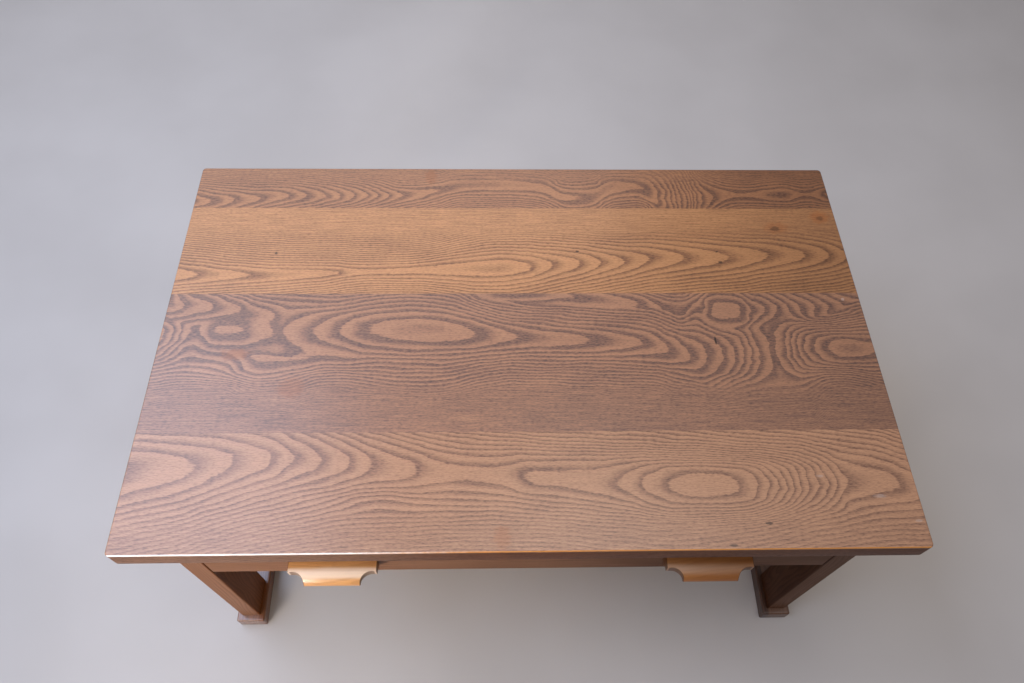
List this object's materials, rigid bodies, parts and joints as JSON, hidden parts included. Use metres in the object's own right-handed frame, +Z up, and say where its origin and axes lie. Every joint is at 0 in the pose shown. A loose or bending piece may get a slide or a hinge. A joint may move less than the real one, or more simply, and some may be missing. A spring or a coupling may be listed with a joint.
{
  "type": "low writing desk",
  "caption": "Low wooden floor desk: edge-joined plank top on posts and sled runners, with a wide drawer and carved wooden pulls.",
  "frame": {"origin": "on the floor, under the centre of the desk's bounding box, which reaches from the rear edge of the top to the tips of the drawer pulls", "axes": "+X to the right along the width, +Y from the drawer side to the rear, +Z up"},
  "size_m": [0.8, 0.5088, 0.35],
  "materials": {
    "top_wood": "brown stained hardwood under satin lacquer",
    "frame_wood": "dark brown stained hardwood under satin lacquer",
    "pull_wood": "carved lighter hardwood under satin lacquer",
    "box_wood": "bare pale softwood",
    "screw_steel": "zinc plated steel"
  },
  "bodies": {
    "frame": {"top_board_front": "top_wood", "top_board_mid_front": "top_wood", "top_board_mid_rear": "top_wood", "top_board_rear": "top_wood", "top_spline_front": "box_wood", "top_spline_middle": "box_wood", "top_spline_rear": "box_wood", "post_front_left": "frame_wood", "post_front_right": "frame_wood", "post_rear_left": "frame_wood", "post_rear_right": "frame_wood", "foot_runner_left": "frame_wood", "foot_runner_right": "frame_wood", "side_apron_left": "frame_wood", "side_apron_right": "frame_wood", "rear_apron": "frame_wood", "front_rail": "frame_wood", "drawer_support_left": "box_wood", "drawer_support_right": "box_wood", "drawer_kicker_left": "box_wood", "drawer_kicker_right": "box_wood", "drawer_stop_left": "box_wood", "drawer_stop_right": "box_wood", "top_button_left": "box_wood", "top_button_middle": "box_wood", "top_button_right": "box_wood", "button_screw_left": "screw_steel", "button_screw_middle": "screw_steel", "button_screw_right": "screw_steel", "rail_screw_left": "screw_steel", "rail_screw_middle": "screw_steel", "rail_screw_right": "screw_steel", "kicker_screw_front_left": "screw_steel", "kicker_screw_front_right": "screw_steel", "kicker_screw_rear_left": "screw_steel", "kicker_screw_rear_right": "screw_steel", "support_screw_front_left": "screw_steel", "support_screw_front_right": "screw_steel", "support_screw_rear_left": "screw_steel", "support_screw_rear_right": "screw_steel"},
    "drawer": {"drawer_front": "frame_wood", "drawer_side_left": "box_wood", "drawer_side_right": "box_wood", "drawer_back": "box_wood", "drawer_bottom": "box_wood", "drawer_bottom_batten": "box_wood", "drawer_pull_left": "pull_wood", "drawer_pull_right": "pull_wood", "left_pull_screw_left": "screw_steel", "left_pull_screw_right": "screw_steel", "right_pull_screw_left": "screw_steel", "right_pull_screw_right": "screw_steel", "panel_screw_outer_left": "screw_steel", "panel_screw_left": "screw_steel", "panel_screw_right": "screw_steel", "panel_screw_outer_right": "screw_steel"}
  },
  "joints": [
    {"name": "drawer_slide", "type": "slide", "parent": "frame", "child": "drawer", "axis": [0, -1, 0], "range_m": [0, 0.3]}
  ]
}
